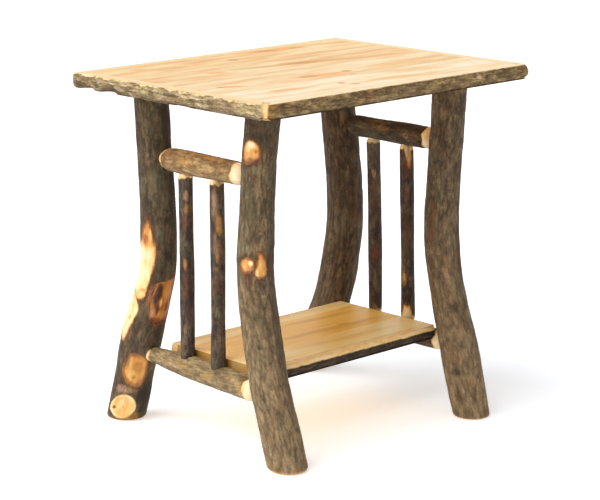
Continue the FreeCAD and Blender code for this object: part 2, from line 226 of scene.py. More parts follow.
# Bark and the bare wood that shows through it
def bark_material(name, deep, dark, middle, light, seed, lift):
    """Bark in four colours, from the bottom of a furrow to a lit ridge, with bare wood where marked.
    The furrow colour goes into the furrows and cracks as painted shade.

    lift makes it paler towards the floor, partly as the bark's own paler colour low down and partly as
    painted light.
    """
    material, tree, shader = new_material(name)
    grain = attribute(tree, "grain")["Vector"]
    marks_and_shade = attribute(tree, "marks_and_shade")
    tinge = attribute(tree, "tinges")
    bare, tone, rust = add(tree, "ShaderNodeSeparateColor", {0: marks_and_shade["Color"]}).outputs
    # Painted shade in the furrows, carried in the alpha
    hollow_shade = marks_and_shade["Alpha"]
    shift = (seed * 0.37, seed * 0.61, seed * 0.83)

    def noised(scale, detail, roughness, along, moved=shift):
        return cloud(tree, grain, scale, detail, roughness, (1, 1, along), moved)

    # Plates of bark with cracks between them
    waves = add(tree, "ShaderNodeTexNoise", {"Vector": grain, "Scale": 75, "Detail": 3}).outputs["Color"]
    waves = vectors(tree, "SUBTRACT", waves, (0.5, 0.5, 0.5))
    bent = vectors(tree, "ADD", grain, vectors(tree, "MULTIPLY", waves, (0.018, 0.018, 0.018)))
    plates_place = add(tree, "ShaderNodeMapping", {0: bent, 1: shift, 3: (1, 1, 0.45)}).outputs[0]
    plate_inputs = {"Vector": plates_place, "Scale": 125}
    plates = add(tree, "ShaderNodeTexVoronoi", plate_inputs)
    plate_tone = add(tree, "ShaderNodeSeparateColor", {0: plates.outputs["Color"]}).outputs[0]
    cracks = add(tree, "ShaderNodeTexVoronoi", plate_inputs, feature="DISTANCE_TO_EDGE")
    crack = add(tree, "ShaderNodeMapRange", {0: cracks.outputs["Distance"], 1: 0.16, 2: 0.0}).outputs[0]

    # Bark, then olive, ruddy and pale clouds over it
    mottle = noised(64, 5, 0.62, 0.55)
    ridges = noised(210, 4, 0.62, 0.32)
    level = plus(tree, times(tree, mottle, 0.5), times(tree, ridges, 0.4))
    level = plus(tree, level, times(tree, plate_tone, 0.1))
    bark = ramp(tree, level, [(0.41, dark), (0.5, middle), (0.60, light)])
    olive = noised(40, 3, 0.5, 0.6)
    olive = ramp(tree, olive, [(0.50, BLACK), (0.64, grey(0.6))])
    bark = mixed(tree, olive, bark, mixed(tree, 0.6, bark, tint(106, 102, 72)))
    ruddy = noised(52, 3, 0.5, 0.55, (shift[1], shift[2], shift[0]))
    ruddy = ramp(tree, ruddy, [(0.52, BLACK), (0.66, grey(0.55))])
    bark = mixed(tree, ruddy, bark, mixed(tree, 0.5, bark, tint(116, 80, 58)))
    pale = noised(95, 4, 0.6, 0.6, (shift[2], shift[0], shift[1]))
    pale = ramp(tree, pale, [(0.55, BLACK), (0.68, grey(0.6))])
    bark = mixed(tree, pale, bark, light)
    # Paler towards the floor: partly the bark's own colour, partly painted light
    if lift:
        object_place = add(tree, "ShaderNodeTexCoord").outputs["Object"]
        upright = add(tree, "ShaderNodeSeparateXYZ", {0: object_place}).outputs[2]
        low = add(tree, "ShaderNodeMapRange", {0: upright, 1: 0.44, 2: 0.06, 3: 0.0, 4: lift}).outputs[0]
        bark = mixed(tree, low, bark, tint(184, 150, 108), "SCREEN")
    bark = mixed(tree, times(tree, rust, plus(tree, mottle, 0.3)), bark, tint(124, 74, 38))

    # Bare wood
    fibres = noised(260, 4, 0.6, 0.06)
    cloudy = noised(120, 3, 0.55, 0.4)
    shade = plus(tree, tone, times(tree, sums(tree, "SUBTRACT", cloudy, 0.5), 0.5))
    wood = ramp(tree, shade, [
        (0.0, tint(253, 230, 190)), (0.22, tint(246, 206, 142)), (0.45, tint(226, 160, 84)),
        (0.7, tint(178, 108, 46)), (0.88, tint(112, 64, 30)), (1.0, tint(66, 38, 24))])
    wood = mixed(tree, 0.3, wood, ramp(tree, fibres, [(0.3, grey(0.35)), (0.6, grey(0.75))]), "OVERLAY")

    # Tinges, some of them painted shade, over both, then painted shade in the furrows and cracks
    colour = mixed(tree, bare, bark, wood)
    patchy = plus(tree, times(tree, plus(tree, mottle, ridges), 0.6), 0.4)
    colour = mixed(tree, times(tree, tinge["Alpha"], patchy), colour, tinge["Color"])
    on_bark = sums(tree, "SUBTRACT", 1.0, bare)
    shade_in_hollows = plus(tree, hollow_shade, times(tree, times(tree, crack, on_bark), 0.35))
    colour = mixed(tree, times(tree, shade_in_hollows, 0.7), colour, deep)

    rough = plus(tree, times(tree, bare, -0.34), 0.8)
    heights = plus(tree, times(tree, ridges, 0.5), times(tree, mottle, 0.5))
    heights = sums(tree, "SUBTRACT", heights, times(tree, crack, 0.12))
    strength = plus(tree, times(tree, bare, -0.55), 0.65)
    bump = add(tree, "ShaderNodeBump", {"Strength": strength, "Distance": 0.002, "Height": heights})
    fill(tree, shader, {
        "Base Color": colour, "Roughness": rough, "Normal": bump.outputs[0], "Specular IOR Level": 0.3})
    return material


def end_material(name, pale, ring, seed):
    """Sawn end grain: rings about the pole's heart, by the grain attribute."""
    material, tree, shader = new_material(name)
    grain = attribute(tree, "grain")["Vector"]
    flat = vectors(tree, "MULTIPLY", grain, (1, 1, 0))
    across = add(tree, "ShaderNodeVectorMath", {0: flat}, operation="LENGTH").outputs["Value"]
    wander = times(tree, cloud(tree, grain, 60, 3, 0.5, shift=(seed, 0, 0)), 0.006)
    along = add(tree, "ShaderNodeCombineXYZ", {0: plus(tree, across, wander)}).outputs[0]
    ring_inputs = {"Vector": along, "Scale": 95, "Distortion": 0.4}
    rings = add(tree, "ShaderNodeTexWave", ring_inputs, bands_direction="X")
    colour = mixed(tree, rings.outputs["Fac"], pale, ring)
    fill(tree, shader, {"Base Color": colour, "Roughness": 0.7})
    return material


def board_material(name, shades, spots, seed, along_y=False, end_x=0.0):
    """A planed board along X or Y, in a pale, a warm and a streak colour.

    A spot is the x and y of its middle, half length, half width, tilt in degrees, colour and
    strength. Past end_x, either way, the end is darker: partly its end grain, partly painted shade.
    """
    pale, warm, streak = (tint(*shade) for shade in shades)
    material, tree, shader = new_material(name)
    object_place = add(tree, "ShaderNodeTexCoord").outputs["Object"]
    long_axis = (1, 0.16, 0.16) if along_y else (0.16, 1, 1)
    fine_axis = (1, 0.03, 0.03) if along_y else (0.03, 1, 1)
    shift = (seed * 0.31, seed * 0.47, seed * 0.29)
    waver = cloud(tree, object_place, 9, 2, 0.5, shift=shift)
    place = vectors(tree, "ADD", object_place, vectors(tree, "MULTIPLY", waver, (0.02, 0.02, 0.02)))
    broad = cloud(tree, place, 42, 3, 0.5, long_axis, shift)
    narrow = cloud(tree, place, 170, 4, 0.6, long_axis, shift)
    fibres = cloud(tree, place, 900, 3, 0.6, fine_axis, shift)
    colour = ramp(tree, broad, [(0.36, pale), (0.5, warm), (0.66, streak)])
    narrow_tone = ramp(tree, narrow, [(0.42, grey(0.5)), (0.70, grey(0.42))])
    colour = mixed(tree, 0.28, colour, narrow_tone, "OVERLAY")
    fibre_tone = ramp(tree, fibres, [(0.3, grey(0.42)), (0.6, grey(0.6))])
    colour = mixed(tree, 0.25, colour, fibre_tone, "OVERLAY")
    for x, y, half_long, half_wide, tilt, spot_colour, strength in spots:
        inputs = {
            0: place, 1: (x * MM, (y + MIDDLE_Y) * MM, 0), 2: (0, 0, radians(tilt)),
            3: (half_long * MM, half_wide * MM, 1000),
        }
        near = add(tree, "ShaderNodeMapping", inputs, vector_type="TEXTURE").outputs[0]
        ball = add(tree, "ShaderNodeTexGradient", {0: near}, gradient_type="SPHERICAL").outputs["Fac"]
        share = ramp(tree, ball, [(0.0, BLACK), (0.5, grey(min(1.0, 1.45 * strength)))])
        colour = mixed(tree, share, colour, tint(*spot_colour))
    # Darker ends past end_x: partly end grain, partly painted shade
    if end_x:
        sideways = add(tree, "ShaderNodeSeparateXYZ", {0: object_place}).outputs[0]
        out = sums(tree, "ABSOLUTE", sideways, 0.0)
        sawn_end_and_shade = add(tree, "ShaderNodeMapRange", {0: out, 1: end_x - 0.001, 2: end_x - 0.0003}).outputs[0]
        colour = mixed(tree, times(tree, sawn_end_and_shade, 0.75), colour, tint(150, 100, 46))
    bump = add(tree, "ShaderNodeBump", {"Strength": 0.12, "Distance": 0.0005, "Height": fibres})
    fill(tree, shader, {
        "Base Color": colour, "Roughness": 0.42, "Normal": bump.outputs[0], "Specular IOR Level": 0.4})
    return material


# Legs: the same bent lines as the frame's legs. Each has its sway and girth at these steps, and the
# seed of its bark with the width, length and depth of the furrows.
LEG_HEIGHT = 571.85
LEG_SPREAD = 130
LEG_RADIUS = 31
SIDE_X = 216
leg_steps = [0.0, 0.08, 0.16, 0.24, 0.32, 0.40, 0.48, 0.58, 0.70, 0.85, 1.0]
leg_forms = {
    "leg_back_left": (
        [1.70, 1.59, 1.49, 1.38, 1.27, 1.13, 1.01, 0.98, 0.99, 1.04, 1.08],
        [1.10, 1.10, 1.09, 1.14, 1.15, 1.04, 1.01, 1.01, 0.98, 0.95, 0.95],
        (2, 9, 34, 0.5)),
    "leg_front_left": (
        [1.43, 1.32, 1.20, 1.09, 1.01, 0.94, 0.88, 0.85, 0.88, 0.92, 1.00],
        [1.08, 1.08, 1.06, 1.04, 1.05, 1.04, 1.00, 0.99, 0.95, 0.92, 0.94],
        (5, 8, 34, 1)),
    "leg_back_right": (
        [1.70, 1.52, 1.34, 1.17, 1.05, 0.97, 0.91, 0.89, 0.93, 1.02, 1.10],
        [1.08, 1.10, 1.11, 1.13, 1.11, 1.11, 1.09, 1.07, 1.06, 1.03, 1.02],
        (8, 8, 56, 1.1)),
    "leg_front_right": (
        [1.51, 1.41, 1.32, 1.22, 1.11, 1.02, 0.95, 0.92, 0.94, 0.99, 1.03],
        [1.03, 1.07, 1.11, 1.07, 1.02, 0.99, 1.00, 1.00, 0.96, 0.96, 0.98],
        (11, 9, 32, 0.75)),
}

# Marks on the poles. A patch is a list of rows, going down: height, the bearings between which the
# bark is gone, and the tone of the wood. A spot is height, bearing, half height, half width, tone, and
# "knot", "scar" or "saw" for more than a change of tone.
# A tinge is colour, height, bearing, half height, half width, strength. Heights on a rail run from
# its front end, and on a spindle from its foot.
patches_on = {
    "leg_back_left": [
        [(364, 190, 198, 0.66), (356, 178, 203, 0.6), (346, 168, 210, 0.54), (334, 162, 216, 0.54),
         (325, 142, 220, 0.44), (318, 126, 221, 0.24), (309, 118, 220, 0.17), (293, 115, 217, 0.14),
         (277, 115, 211, 0.15), (261, 118, 206, 0.17), (248, 122, 205, 0.22), (238, 132, 202, 0.28),
         (230, 160, 196, 0.34)],
        [(240, 122, 158, 0.3), (228, 116, 176, 0.24), (216, 112, 190, 0.2), (205, 112, 196, 0.17),
         (194, 112, 191, 0.17), (182, 114, 186, 0.17), (170, 122, 181, 0.2), (160, 138, 175, 0.28),
         (152, 158, 168, 0.36)],
        [(264, 280, 300, 0.54), (260, 236, 304, 0.6), (250, 224, 307, 0.68), (236, 218, 308, 0.72),
         (222, 220, 308, 0.72), (210, 226, 308, 0.7), (200, 231, 307, 0.7), (192, 240, 304, 0.78),
         (184, 254, 294, 0.88)],
    ],
    "leg_front_left": [
        [(535, 184, 204, 0.34), (530, 170, 214, 0.3), (524, 163, 221, 0.34), (517, 162, 225, 0.46),
         (510, 164, 225, 0.5), (504, 168, 214, 0.48), (498, 176, 196, 0.54)],
        [(343, 194, 214, 0.6), (339, 180, 222, 0.56), (333, 172, 223, 0.56), (327, 177, 219, 0.58),
         (321, 186, 212, 0.66)],
        [(350, 237, 245, 0.54), (345, 236, 252, 0.52), (338, 232, 260, 0.5), (330, 227, 265, 0.5),
         (323, 225, 265, 0.48), (317, 228, 259, 0.46), (312, 234, 249, 0.44)],
    ],
    "spindle_right_front": [
        [(342, 198, 256, 0.12), (330, 200, 258, 0.14), (318, 212, 262, 0.2), (308, 226, 262, 0.24),
         (298, 238, 256, 0.5)],
        [(48, 186, 236, 0.24), (42, 176, 246, 0.14), (34, 168, 254, 0.06), (22, 160, 258, 0.04),
         (10, 156, 262, 0.04)],
    ],
}
spots_on = {
    "leg_back_left": [
        (336, 182, 11, 8, 0.72), (342, 202, 14, 4, 0.38), (312, 219, 18, 3.5, 0.5),
        (286, 213, 20, 3, 0.4), (298, 186, 6, 3, 0.24), (239, 189, 9, 8, 0.3, "knot"),
        (246, 190, 3, 7, 0.52), (194, 172, 4, 3, 0.5), (217, 172, 7, 8, 0.26),
        (242, 276, 21, 9, 0.52), (240, 243, 24, 8, 0.98), (222, 258, 10, 3, 0.36),
        (214, 286, 12, 4, 0.84), (199, 270, 9, 9, 0.62), (212, 250, 12, 5, 0.9),
        (97, 226, 30, 22, 0.5, "scar"), (103, 233, 13, 10, 0.76), (88, 216, 14, 7, 0.34),
        (108, 208, 10, 4, 0.44), (78, 208, 4.5, 4, 0.88), (84, 226, 4.5, 4, 0.84),
        (27.5, 209, 23, 22.5, 0.37, "saw"), (25, 184, 3.5, 3, 0.9),
    ],
    "leg_front_left": [
        (528, 192, 6, 8, 0.0), (521, 184, 5, 5, 0.24), (518, 212, 4, 3.5, 0.74),
        # The first spot on this line, the palest, is a painted highlight on the bare wood
        (336, 212, 4.5, 5, 0.0), (331, 192, 5, 6, 0.44), (320, 231, 8, 4, 0.24),
    ],
}
# Near-black: small dark spots in the bark, and painted shade in long bands down a leg's shaded right side
# and round its upper end beneath the top
dark_mark_and_shade = (34, 27, 20)
russet = (116, 66, 42)
reddish = (168, 110, 78)
umber = (96, 66, 32)
plum = (82, 58, 54)
pink = (196, 148, 118)
tan = (178, 140, 100)
ochre = (206, 150, 66)
moss = (112, 102, 70)
lichen = (138, 128, 96)
apricot = (228, 158, 92)
cream = (250, 220, 172)
straw = (222, 200, 138)
tinges_on = {
    "leg_back_left": [
        (umber, 345, 216, 22, 4, 0.6), (umber, 272, 216, 18, 5, 0.8), (umber, 248, 210, 14, 4, 0.6),
        (moss, 207, 211, 22, 9, 0.6), (pink, 205, 238, 9, 4.5, 0.75),
        (russet, 190, 250, 6, 13, 0.7), (russet, 226, 196, 3, 5, 0.5), (reddish, 171, 186, 14, 5, 0.4),
        (plum, 137, 212, 12, 11, 0.5), (ochre, 96, 226, 26, 20, 0.45), (umber, 112, 196, 14, 6, 0.6),
        (umber, 97, 264, 30, 5, 0.7), (pink, 61, 193, 8, 13, 0.7), (tan, 59, 222, 5, 12, 0.6),
        (dark_mark_and_shade, 44, 272, 40, 16, 0.85), (ochre, 8, 236, 9, 17, 0.6), (reddish, 232, 216, 20, 3.5, 0.7),
        # The near-black band at the end of this line and the first on the next are painted shade, high up
        # and down the right side
        (lichen, 350, 226, 12, 6, 0.35), (russet, 374, 190, 8, 9, 0.4), (dark_mark_and_shade, 530, 276, 48, 13, 0.8),
        (dark_mark_and_shade, 415, 292, 95, 9, 0.6), (tan, 470, 204, 12, 5, 0.35), (lichen, 430, 214, 30, 9, 0.35),
    ],
    "leg_front_left": [
        (russet, 502, 204, 6, 17, 0.8), (umber, 539, 200, 4, 12, 0.5), (umber, 520, 228, 10, 3, 0.5),
        (russet, 315, 203, 6, 10, 0.7), (pink, 327, 206, 4, 7, 0.4), (umber, 327, 270, 13, 4, 0.8),
        # The near-black band at the end of this line and the first two on the next are painted shade,
        # round the upper end beneath the top and down the right side
        (russet, 346, 268, 8, 8, 0.6), (umber, 332, 226, 12, 1.8, 0.8), (dark_mark_and_shade, 560, 226, 26, 44, 0.55),
        (dark_mark_and_shade, 300, 292, 230, 15, 0.5), (dark_mark_and_shade, 528, 262, 24, 15, 0.5), (plum, 299, 248, 14, 8, 0.6),
        (lichen, 361, 192, 8, 9, 0.6), (tan, 293, 200, 17, 2.2, 0.7), (tan, 293, 220, 18, 2.2, 0.65),
        (pink, 292, 178, 16, 6, 0.5), (moss, 427, 202, 34, 13, 0.55), (tan, 456, 228, 36, 4, 0.35),
        (umber, 338, 172, 12, 4, 0.5), (dark_mark_and_shade, 201, 216, 4, 4, 0.7), (russet, 301, 207, 16, 3, 0.5),
    ],
    "leg_back_right": [(russet, 330, 262, 34, 12, 0.35), (lichen, 300, 220, 24, 8, 0.3)],
    "leg_front_right": [
        # The near-black band down the right side on this line is painted shade
        (tan, 236, 232, 44, 8, 0.5), (russet, 318, 184, 26, 6, 0.7), (dark_mark_and_shade, 280, 290, 60, 7, 0.6),
        (russet, 356, 190, 20, 9, 0.5), (russet, 268, 285, 34, 9, 0.5), (tan, 154, 240, 14, 8, 0.6),
        (dark_mark_and_shade, 191, 235, 9, 9, 0.6), (dark_mark_and_shade, 82, 200, 7, 12, 0.65), (tan, 107, 214, 12, 7, 0.6),
        (dark_mark_and_shade, 42, 196, 14, 6, 0.5), (tan, 60, 240, 14, 6, 0.5), (lichen, 400, 214, 26, 7, 0.4),
    ],
    "upper_rail_left": [
        (moss, 176, 160, 18, 8, 0.35), (ochre, 160, 158, 22, 8, 0.45), (russet, 140, 100, 4, 4, 0.8),
        (ochre, 110, 116, 15, 3, 0.65), (reddish, 103, 192, 14, 5, 0.5), (reddish, 200, 140, 10, 10, 0.4),
        # The long umber band at the end of this line, along the underside, is painted shade
        (umber, 60, 92, 22, 4, 0.8), (umber, 125, 246, 90, 8, 0.5),
    ],
    "upper_rail_right": [
        (tan, 79, 176, 6, 5, 0.7), (dark_mark_and_shade, 79, 176, 3, 2.5, 0.8), (dark_mark_and_shade, 110, 170, 26, 8, 0.4),
        (ochre, 30, 165, 8, 12, 0.4), (ochre, 140, 160, 30, 5, 0.25), (moss, 185, 165, 22, 7, 0.3),
        (russet, 60, 180, 8, 8, 0.4),
    ],
    "lower_rail_left": [
        (ochre, 202, 156, 18, 7, 0.35), (moss, 215, 150, 16, 9, 0.35), (ochre, 137, 172, 14, 7, 0.35),
        # The long near-black band on this line, along the underside, is painted shade
        (pink, 232, 176, 16, 8, 0.35), (dark_mark_and_shade, 165, 258, 150, 13, 0.8),
        (umber, 64, 110, 14, 4, 0.5), (reddish, 90, 150, 20, 8, 0.3), (ochre, 58, 176, 6, 12, 0.5),
    ],
    # Its one tinge, a long band along the underside, is painted shade
    "lower_rail_right": [(umber, 160, 240, 130, 12, 0.5)],
    "spindle_left_front": [
        (pink, 300, 206, 24, 5, 0.6), (umber, 322, 232, 14, 9, 0.5), (apricot, 262, 238, 17, 6, 0.65),
        (ochre, 252, 244, 9, 5, 0.8), (tan, 286, 206, 22, 5, 0.4), (tan, 226, 212, 20, 4, 0.5),
        (ochre, 205, 226, 8, 3, 0.5), (ochre, 186, 220, 5, 3, 0.4), (moss, 140, 214, 30, 6, 0.4),
        (reddish, 215, 238, 24, 5, 0.5), (lichen, 112, 222, 7, 5, 0.55), (russet, 160, 226, 22, 8, 0.4),
        (tan, 66, 236, 12, 3, 0.4),
    ],
    "spindle_left_back": [
        (pink, 293, 230, 9, 5, 0.85), (apricot, 272, 232, 9, 4, 0.55), (lichen, 213, 226, 5, 4, 0.6),
        (apricot, 178, 218, 10, 4, 0.6), (reddish, 250, 226, 16, 6, 0.5), (russet, 140, 222, 30, 7, 0.5),
        (tan, 68, 212, 8, 4, 0.5), (plum, 100, 234, 20, 7, 0.6), (dark_mark_and_shade, 190, 246, 120, 5, 0.4),
    ],
    "spindle_right_front": [
        (ochre, 98, 186, 15, 5, 0.7), (straw, 102, 190, 8, 2.5, 0.6), (russet, 300, 232, 24, 9, 0.5),
        (russet, 180, 226, 40, 8, 0.45), (reddish, 250, 222, 20, 5, 0.4),
        (russet, 326, 236, 12, 3, 0.6),
    ],
    "spindle_right_back": [
        (russet, 129, 230, 17, 10, 0.75), (lichen, 81, 222, 17, 3, 0.55), (pink, 26, 224, 9, 6, 0.5),
        (lichen, 330, 226, 10, 16, 0.3), (russet, 230, 220, 30, 8, 0.3), (pink, 275, 222, 8, 4, 0.6),
    ],
}


def turned(angle, bearing):
    """How far an angle lies from a bearing in degrees, within half a turn."""
    return (angle - radians(bearing) + pi) % TAU - pi


def in_patch(rows, height, angle, radius):
    """How far inside a patch's outline a place lies, in millimetres, and the wood's tone there."""
    top = rows[0][0]
    foot = rows[-1][0]
    if not foot - 7 < height < top + 7:
        return -9.0, 0.0
    heights, lefts, rights, tones = zip(*reversed(rows))
    left = reading(heights, lefts, height)
    right = reading(heights, rights, height)
    half = radians(right - left) / 2
    within = (half - abs(turned(angle, (left + right) / 2))) * radius
    within = min(within, 0.9 * (top - height) + 1.0, 0.9 * (height - foot) + 1.0)
    x = cos(angle)
    y = sin(angle)
    within += 1.7 * ripple(x * 2.8, y * 2.8, height / 12)
    within += 0.8 * ripple(x * 8, y * 8, height / 4)
    return within, reading(heights, tones, height)


def tinged(name, height, angle, radius):
    """The colour laid over one place on a pole, with its strength."""
    colour = (0.0, 0.0, 0.0)
    strength = 0.0
    for shade, middle, bearing, tall, wide, most in tinges_on.get(name, []):
        up = (height - middle) / tall
        if abs(up) > 1.8:
            continue
        side = radius * turned(angle, bearing) / wide
        reach = hypot(up, side)
        if reach > 1.8:
            continue
        reach += 0.35 * ripple(side * 1.7, up * 1.7, middle * 0.7)
        reach += 0.20 * ripple(side * 4.1, up * 3.3, middle * 0.3)
        share = most * ease(1.35, 0.45, reach)
        if share > 0:
            red, green, blue, _ = tint(*shade)
            weight = share / (share + strength * (1 - share))
            colour = tuple(blend(old, new, weight) for old, new in zip(colour, (red, green, blue)))
            strength = share + strength * (1 - share)
    return (*colour, strength)


def marked(name, height, angle, radius):
    """Bare wood, its tone, rust and the depth cut away, at one place on a pole."""
    bare, tone, rust, cut = 0.0, 0.3, 0.0, 0.0
    for rows in patches_on.get(name, []):
        within, row_tone = in_patch(rows, height, angle, radius)
        if within > -7:
            inside = ease(-0.8, 0.8, within)
            run = ripple(cos(angle) * 4, sin(angle) * 4, height / 16)
            fringe = 0.36 * ease(4.0, 0.2, within + 2.0 * run)
            bare = max(bare, inside)
            tone = blend(tone, row_tone + fringe + 0.14 * run, inside)
            cut = blend(cut, 1.2 * ease(-0.5, 2.5, within), inside)
            rust = max(rust, ease(-6.9, -0.8, within + 2.0 * run))
    for middle, bearing, tall, wide, spot_tone, *kinds in spots_on.get(name, []):
        kind = kinds[0] if kinds else "spot"
        up = (height - middle) / tall
        if abs(up) > 1.9:
            continue
        slant = -0.3 * (height - middle) if kind == "scar" else 0.0
        side = radius * turned(angle, bearing + slant) / wide
        reach = hypot(up, side)
        if reach > 1.9:
            continue
        if kind != "saw":
            rough = 0.1 if kind == "scar" else 0.2
            reach += rough * ripple(side * 1.5, up * 1.5, middle)
        if kind == "spot":
            tone = blend(tone, spot_tone, ease(1.2, 0.4, reach) * bare)
            continue
        soft = 0.12 if kind == "scar" else 0.06
        inside = ease(1 + soft, 1 - soft, reach)
        rim = ease(0.62, 1.0, reach)
        cross = ripple(side * 3.1, up * 0.9, middle + 5)
        if kind == "scar":
            here = spot_tone + 0.34 * rim * rim * (1.0 - 0.5 * side) + 0.12 * cross
            depth = 0.6 + 1.4 * ease(0.3, 0.9, reach)
            rust = max(rust, 0.9 * ease(1.4, 0.95, reach))
        elif kind == "knot":
            here = spot_tone + 0.16 * rim
            depth = 0.7
        else:
            here = spot_tone + 0.02 * sin(reach * 20) - 0.14 * ease(0.7, 0.95, reach)
            depth = radius * (1 - 0.93 / max(cos(turned(angle, bearing)), 0.5))
        bare = max(bare, inside)
        tone = blend(tone, here, inside)
        cut = blend(cut, depth, inside)
    return bare, min(max(tone, 0.0), 1.0), rust, cut


def unrolled(angle, radius, height, seed, width, length):
    """A place on a pole as noise reads it, with steps of width round the pole and length along it."""
    across = radius / width
    return Vector((cos(angle) * across, sin(angle) * across, height / length + seed))


def bark_relief(angle, radius, height, seed, width, length):
    """How deep in a bark furrow a place lies, 0 to 1, and the pole's broad swells, -1 to 1."""
    where = unrolled(angle, radius, height, seed, width, length)
    first = max(0.0, 1 - 3.4 * abs(noise.noise(where)))
    second = max(0.0, 1 - 3.0 * abs(noise.noise(where * 2.1 + Vector((7, 3, 1)))))
    swell = noise.noise(unrolled(angle, radius, height, seed, 26, 55))
    return 0.75 * first + 0.35 * second, swell


def leg_side(name):
    """The x of a leg, and how far in Y from the table's middle it stands where its sway is 1."""
    side = -SIDE_X if name.endswith("left") else SIDE_X
    return side, LEG_SPREAD if "back" in name else -LEG_SPREAD


def leg_middle(name, height):
    side, away = leg_side(name)
    swayed = away * reading(leg_steps, leg_forms[name][0], height / LEG_HEIGHT)
    return Vector((side, MIDDLE_Y + swayed, height))


def leg_thick(name, height):
    return LEG_RADIUS * reading(leg_steps, leg_forms[name][1], height / LEG_HEIGHT)


def leg_place(name):
    sway, girth, (seed, width, length, depth) = leg_forms[name]
    side, away = leg_side(name)
    foot = 9.0 if name == "leg_front_left" else 5.0

    def place(share_round, share_along):
        height = share_along * LEG_HEIGHT
        angle = share_round * TAU
        low = max(height - 6, 0) / LEG_HEIGHT
        high = min(height + 6, LEG_HEIGHT) / LEG_HEIGHT
        rise = (high - low) * LEG_HEIGHT
        slope = away * (reading(leg_steps, sway, high) - reading(leg_steps, sway, low)) / rise
        lean = hypot(1, slope)
        radius = LEG_RADIUS * reading(leg_steps, girth, share_along)
        bare, tone, rust, cut = marked(name, height, angle, radius)
        furrow, lump = bark_relief(angle, radius, height, seed, width, length)
        relief = -depth * furrow + 0.9 * lump - 0.3
        relief = min(relief, 0.6 * ease(14, 50, height) - 0.4)
        rounding = foot - sqrt(foot * foot - (foot - min(height, foot)) ** 2)
        worn = ease(foot * 0.9, foot * 0.2, height) * 0.8
        reached = radius + relief * (1 - bare) - cut - rounding
        middle_y = MIDDLE_Y + away * reading(leg_steps, sway, share_along)
        point = (side + reached * cos(angle), middle_y + reached * lean * sin(angle), height)
        straight = (radius * cos(angle), radius * sin(angle), height + 1000 * seed)
        # Painted shade in the bark's furrows
        hollow_shade = min(1.0, furrow * (0.35 + 0.5 * depth)) * (1 - bare)
        if worn > bare:
            tone = 0.42
        shares = (max(bare, worn), tone, rust, hollow_shade)
        return point, straight, shares, tinged(name, height, angle, radius)

    return place


# Rails and spindles: straight poles between two points, with bare tapered ends
def fullness(run, taper):
    """How much of its full thickness a pole has, run past its tenon. A long taper is a gentle one."""
    if not taper or run >= taper:
        return 1.0
    left = 1 - max(run, 0) / taper
    return 1 - left ** 2 if taper > 40 else sqrt(1 - left ** 2)


def stick_place(name, start, finish, radius, tenons, tapers, peels, bow, bark_form):
    """The form of a pole from start to finish.

    tenons gives the bare tenon's radius and how far it runs in from each end, tapers the length
    of the shoulder that leads to the full pole, and peels how much of that is without bark.
    """
    begin = Vector(start)
    line = Vector(finish) - begin
    length = line.length
    axis = line.normalized()
    side = axis.cross(Vector((0, 0, 1)))
    if side.length < 0.3:
        side = Vector((1, 0, 0))
    side.normalize()
    other = axis.cross(side)
    tenon_radius, low_reach, high_reach = tenons
    seed, width, stretch, depth = bark_form

    def place(share_round, share_along):
        distance = share_along * length
        angle = share_round * TAU
        low = distance - low_reach
        high = length - high_reach - distance
        full = min(fullness(low, tapers[0]), fullness(high, tapers[1]))
        swell = 1 + 0.03 * sin(share_along * 9 + seed)
        thick = blend(tenon_radius, radius * swell, full)
        edge = 4 * ripple(cos(angle) * 1.5, sin(angle) * 1.5, seed)
        past_peel = min(low - peels[0], high - peels[1])
        peeled = ease(1.0, -1.0, past_peel + edge)
        world = side * cos(angle) + other * sin(angle)
        bearing = atan2(world.y, world.x) if abs(axis.z) > 0.5 else atan2(world.z, world.x)
        bare, tone, rust, cut = marked(name, distance, bearing, thick)
        if peeled > bare:
            tone = 0.08 + 0.22 * ease(-7, 0, past_peel)
            bare = peeled
        furrow, lump = bark_relief(angle, thick, distance, seed, width, stretch)
        relief = (-0.9 * depth * furrow + 0.6 * lump - 0.2) * (1 - bare)
        reached = thick + relief - cut * 0.6
        sway = bow * radius * sin(share_along * pi)
        point = begin + axis * distance + world * reached + side * sway
        straight = (thick * cos(angle), thick * sin(angle), distance + 1000 * seed)
        # Painted shade in the bark's furrows
        hollow_shade = min(1.0, furrow * (0.35 + 0.5 * depth)) * (1 - bare)
        return point, straight, (bare, tone, rust, hollow_shade), tinged(name, distance, bearing, thick)

    return place


# Rails: side, girth, front height, back height, bark form, tapers and peeled lengths at front and back
rail_forms = {
    "upper_rail_left": ("left", 40, 470.5, 470.5, (21, 7, 30, 0.5), (26, 20), (19, 4)),
    "upper_rail_right": ("right", 39, 475, 475, (24, 7, 30, 0.6), (26, 22), (13, -6)),
    "lower_rail_left": ("left", 42, 116, 127, (27, 6, 30, 0.8), (26, 170), (18, 4)),
    "lower_rail_right": ("right", 36, 120, 123, (30, 6, 30, 0.7), (24, 24), (14, 10)),
}


def rail_line(name):
    side, _, front_height, back_height, *_ = rail_forms[name]
    return leg_middle("leg_front_" + side, front_height), leg_middle("leg_back_" + side, back_height)


def rail_height(name, y):
    front, back = rail_line(name)
    return front.z + (back.z - front.z) * (y - front.y) / (back.y - front.y)


RAIL_TENON_RADIUS = 13
SPINDLE_RADIUS = 12.5
SPINDLE_TENON_RADIUS = 9

# Spindles: side, place in Y from the table's middle, lean, the bare taper at the foot, and seed
spindle_forms = {
    "spindle_left_front": ("left", -19.5, 0, 0, 33),
    "spindle_left_back": ("left", 57, 0, 0, 36),
    "spindle_right_front": ("right", -38.5, 10, 16, 39),
    "spindle_right_back": ("right", 41.5, 10, 16, 42),
}


# Bark edge strips of the top and the shelf. Round a strip's section run its top, its outer face, its
# underside and its inner face, and these shares of the way round are where the first three end.
TOP_ENDS = 0.25
OUTSIDE_ENDS = 0.625
UNDERSIDE_ENDS = 0.8125


